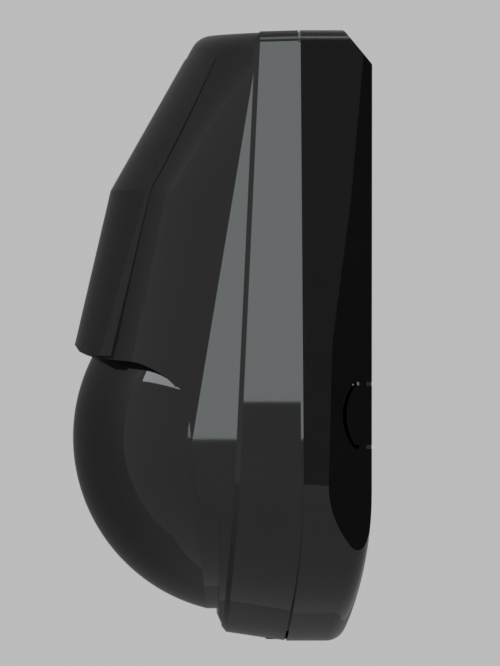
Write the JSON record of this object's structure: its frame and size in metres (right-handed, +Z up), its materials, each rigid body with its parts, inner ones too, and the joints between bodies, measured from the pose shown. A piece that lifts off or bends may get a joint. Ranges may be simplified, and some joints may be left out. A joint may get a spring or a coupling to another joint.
{
  "type": "passive infrared motion sensor",
  "caption": "Wall-mounted passive infrared motion sensor with a hooded black front cover, a domed lens below the hood and a rear housing that holds the circuit board.",
  "frame": {"origin": "on the wall plane, in the middle of the flat back, half way across the width", "axes": "+X across the face, +Y into the wall, +Z up; the lens looks along -Y"},
  "size_m": [0.065, 0.0535, 0.1099],
  "materials": {
    "cover_black": "fine-textured satin",
    "lens_black": "smooth satin",
    "moulding_black": "matte",
    "dark_steel": "blackened",
    "plated_steel": "bright plated",
    "spring_steel": "drawn wire",
    "filter_grey": "gloss",
    "board_green": "solder mask",
    "led_red": "gloss",
    "terminal_green": "satin",
    "plunger_white": "satin",
    "relay_white": "satin",
    "capacitor_grey": "satin",
    "chip_brown": "satin"
  },
  "bodies": {
    "housing": {"rear_housing": "cover_black", "cover_screw": "dark_steel", "circuit_board": "board_green", "board_screws": "plated_steel", "pir_sensor_can": "plated_steel", "pir_window": "filter_grey", "pir_leads": "plated_steel", "sensor_collar": "moulding_black", "indicator_led": "led_red", "led_leads": "plated_steel", "terminal_block": "terminal_green", "terminal_clamps": "plated_steel", "terminal_screws": "plated_steel", "tamper_switch": "moulding_black", "tamper_spring": "spring_steel", "processor_chip": "moulding_black", "amplifier_chip": "moulding_black", "alarm_relay": "relay_white", "voltage_regulator": "moulding_black", "capacitors": "capacitor_grey", "chip_components": "chip_brown", "option_header": "moulding_black", "option_jumper": "moulding_black"},
    "cover": {"front_cover": "cover_black", "lens": "lens_black", "lens_retainer": "cover_black"},
    "plunger": {"tamper_plunger": "plunger_white"}
  },
  "joints": [
    {"name": "cover_hinge", "type": "hinge", "parent": "housing", "child": "cover", "pos_m": [0, -0.0131, 0.0444], "axis": [-1, 0, 0], "range_deg": [0, 50]},
    {"name": "tamper_press", "type": "slide", "parent": "housing", "child": "plunger", "axis": [0, 1, 0], "range_m": [0, 0.0012], "stiffness_N_per_m": 200, "springref_m": -0.002, "deforming": ["tamper_spring"]}
  ]
}
